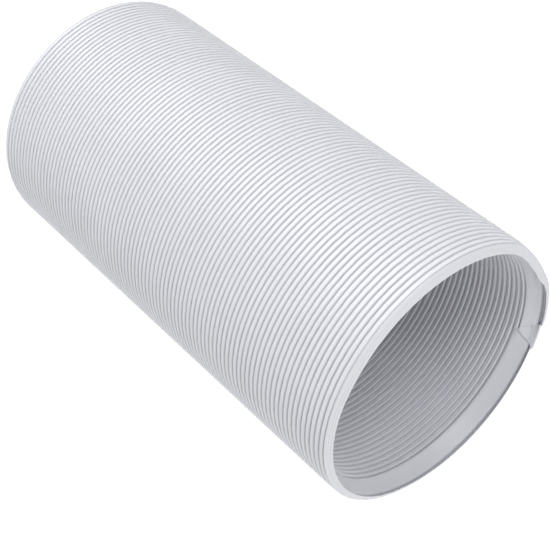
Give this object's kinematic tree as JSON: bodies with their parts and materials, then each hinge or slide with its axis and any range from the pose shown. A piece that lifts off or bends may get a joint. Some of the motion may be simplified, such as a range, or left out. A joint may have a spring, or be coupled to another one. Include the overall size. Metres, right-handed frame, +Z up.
{
  "type": "exhaust hose",
  "caption": "Collapsible round exhaust hose, pushed together: a white plastic strip wound in a helix, with fine ribs outside and in its bore, a turned-in lip and a smooth lead-in at its mouth.",
  "frame": {"origin": "on the floor, under the middle of the hose, which lies on its side", "axes": "+X along the hose's axis and out of its mouth, +Z up"},
  "size_m": [0.2854, 0.15, 0.15],
  "materials": {
    "wound_strip": "satin"
  },
  "bodies": {
    "root": {"wound_strip": "wound_strip"}
  },
  "joints": []
}
